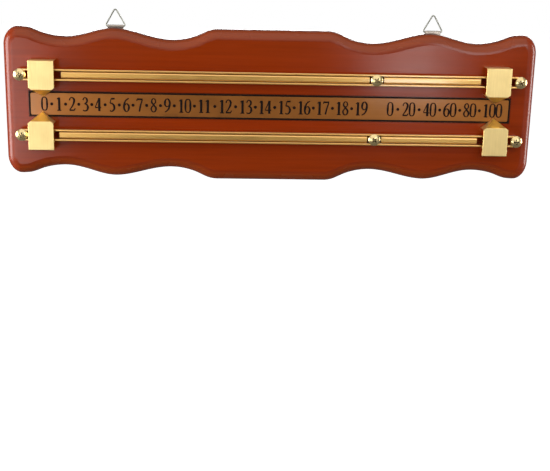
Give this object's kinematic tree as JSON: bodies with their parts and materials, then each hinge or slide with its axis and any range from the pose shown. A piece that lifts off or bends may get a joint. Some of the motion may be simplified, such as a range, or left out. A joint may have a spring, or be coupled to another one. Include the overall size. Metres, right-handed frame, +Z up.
{
  "type": "billiard scoreboard",
  "caption": "Wall-hung scoring board with a wavy moulded outline, a number plate, two slotted rails with sliding pointer blocks, and wire hanging rings.",
  "frame": {"origin": "middle of the board's flat back face, which faces the wall", "axes": "+X runs along the numbers, from 0 at the left to 100 at the right; +Y points into the wall; +Z is up"},
  "size_m": [0.605, 0.0391, 0.1917],
  "materials": {
    "mahogany_lacquer": "mahogany stain under gloss lacquer",
    "plate_brass": "satin printed brass",
    "rail_gold": "gold anodised, drawn",
    "slider_brass": "brushed and lacquered",
    "screw_brass": "polished plating",
    "nickel_sheet": "bright nickel plated",
    "nickel_wire": "bright nickel plated",
    "black_screw": "black oxide"
  },
  "bodies": {
    "root": {"board": "mahogany_lacquer", "number_plate": "plate_brass", "upper_rail": "rail_gold", "upper_rail_left_screw": "screw_brass", "upper_rail_middle_screw": "screw_brass", "upper_rail_right_screw": "screw_brass", "lower_rail": "rail_gold", "lower_rail_left_screw": "screw_brass", "lower_rail_middle_screw": "screw_brass", "lower_rail_right_screw": "screw_brass", "left_hanger_strap": "nickel_sheet", "left_hanger_upper_screw": "black_screw", "left_hanger_lower_screw": "black_screw", "right_hanger_strap": "nickel_sheet", "right_hanger_upper_screw": "black_screw", "right_hanger_lower_screw": "black_screw"},
    "upper_units_slider": {"upper_units_slider": "slider_brass"},
    "upper_twenties_slider": {"upper_twenties_slider": "slider_brass"},
    "lower_units_slider": {"lower_units_slider": "slider_brass"},
    "lower_twenties_slider": {"lower_twenties_slider": "slider_brass"},
    "left_hanger_ring": {"left_hanger_ring": "nickel_wire"},
    "right_hanger_ring": {"right_hanger_ring": "nickel_wire"}
  },
  "joints": [
    {"name": "upper_units_slide", "type": "slide", "parent": "root", "child": "upper_units_slider", "axis": [1, 0, 0], "range_m": [-0.003, 0.3609]},
    {"name": "upper_twenties_slide", "type": "slide", "parent": "root", "child": "upper_twenties_slider", "axis": [1, 0, 0], "range_m": [-0.1206, 0.005]},
    {"name": "lower_units_slide", "type": "slide", "parent": "root", "child": "lower_units_slider", "axis": [1, 0, 0], "range_m": [-0.001, 0.3629]},
    {"name": "lower_twenties_slide", "type": "slide", "parent": "root", "child": "lower_twenties_slider", "axis": [1, 0, 0], "range_m": [-0.1212, 0.0044]},
    {"name": "left_ring_hinge", "type": "hinge", "parent": "root", "child": "left_hanger_ring", "pos_m": [-0.178, 0.00175, 0.0864], "axis": [1, 0, 0], "range_deg": [-163, 90]},
    {"name": "right_ring_hinge", "type": "hinge", "parent": "root", "child": "right_hanger_ring", "pos_m": [0.1833, 0.00175, 0.0864], "axis": [1, 0, 0], "range_deg": [-163, 90]}
  ]
}
